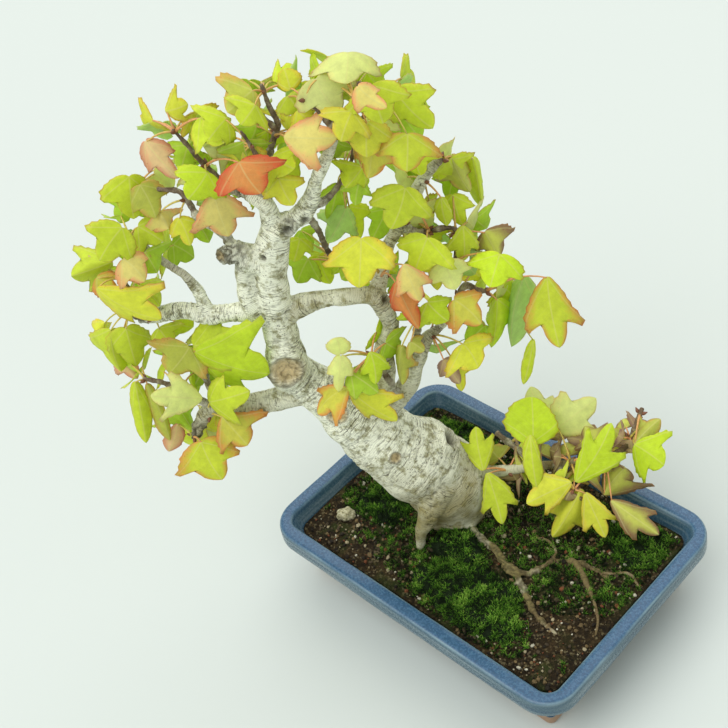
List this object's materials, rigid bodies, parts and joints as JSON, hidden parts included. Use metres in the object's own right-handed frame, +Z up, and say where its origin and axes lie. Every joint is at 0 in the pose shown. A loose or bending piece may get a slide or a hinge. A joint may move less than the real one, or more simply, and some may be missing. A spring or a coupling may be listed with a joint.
{
  "type": "maple bonsai in a rectangular glazed pot",
  "caption": "Trident maple bonsai: leaning pale-barked trunk joined to a second trunk by an arch, fresh three-lobed leaves, moss, in a shallow cobalt blue glazed rectangular pot.",
  "frame": {"origin": "under the middle of the bounding box, on the plane of the pot's feet", "axes": "+Z up, +X along the pot's long side, the side seen in the picture faces +X -Y"},
  "size_m": [0.218, 0.154, 0.2551],
  "materials": {
    "glazed_clay": "glossy",
    "soil": "rough",
    "bark": "matte",
    "moss": "matte",
    "leaf": "satin",
    "stone": "matte"
  },
  "bodies": {
    "root": {"leaves_apex_cut": "leaf", "leaves_apex_left": "leaf", "leaves_apex_right": "leaf", "leaves_apex_top": "leaf", "leaves_crown_front": "leaf", "leaves_crown_low": "leaf", "leaves_crown_mid": "leaf", "leaves_crown_top": "leaf", "leaves_gap": "leaf", "leaves_left_end": "leaf", "leaves_left_tip": "leaf", "leaves_left_twig_tip": "leaf", "leaves_low_end": "leaf", "leaves_low_left_mid": "leaf", "leaves_low_left_tip": "leaf", "leaves_low_mid": "leaf", "leaves_low_rear": "leaf", "leaves_low_right_base": "leaf", "leaves_low_right_end": "leaf", "leaves_low_right_far": "leaf", "leaves_low_right_mid": "leaf", "leaves_low_right_near": "leaf", "leaves_low_right_tip": "leaf", "leaves_low_right_twig": "leaf", "leaves_rear_low": "leaf", "leaves_rear_mid": "leaf", "leaves_rear_tip": "leaf", "leaves_rear_twig": "leaf", "leaves_rear_upper": "leaf", "leaves_right_twig": "leaf", "leaves_right_twig_low": "leaf", "leaves_second_front": "leaf", "leaves_second_low": "leaf", "leaves_second_mid": "leaf", "leaves_second_tip": "leaf", "leaves_shoot_mid": "leaf", "leaves_shoot_tip": "leaf", "leaves_shoulder_low": "leaf", "leaves_shoulder_mid": "leaf", "leaves_shoulder_tip": "leaf", "leaves_side_low": "leaf", "leaves_side_mid": "leaf", "leaves_side_tip": "leaf", "leaves_upper_left_mid": "leaf", "leaves_upper_left_tip": "leaf", "moss_back": "moss", "moss_front": "moss", "moss_left": "moss", "moss_right": "moss", "moss_trunk": "moss", "pot": "glazed_clay", "soil": "soil", "stone": "stone", "trunk_and_branches": "bark"}
  },
  "joints": []
}
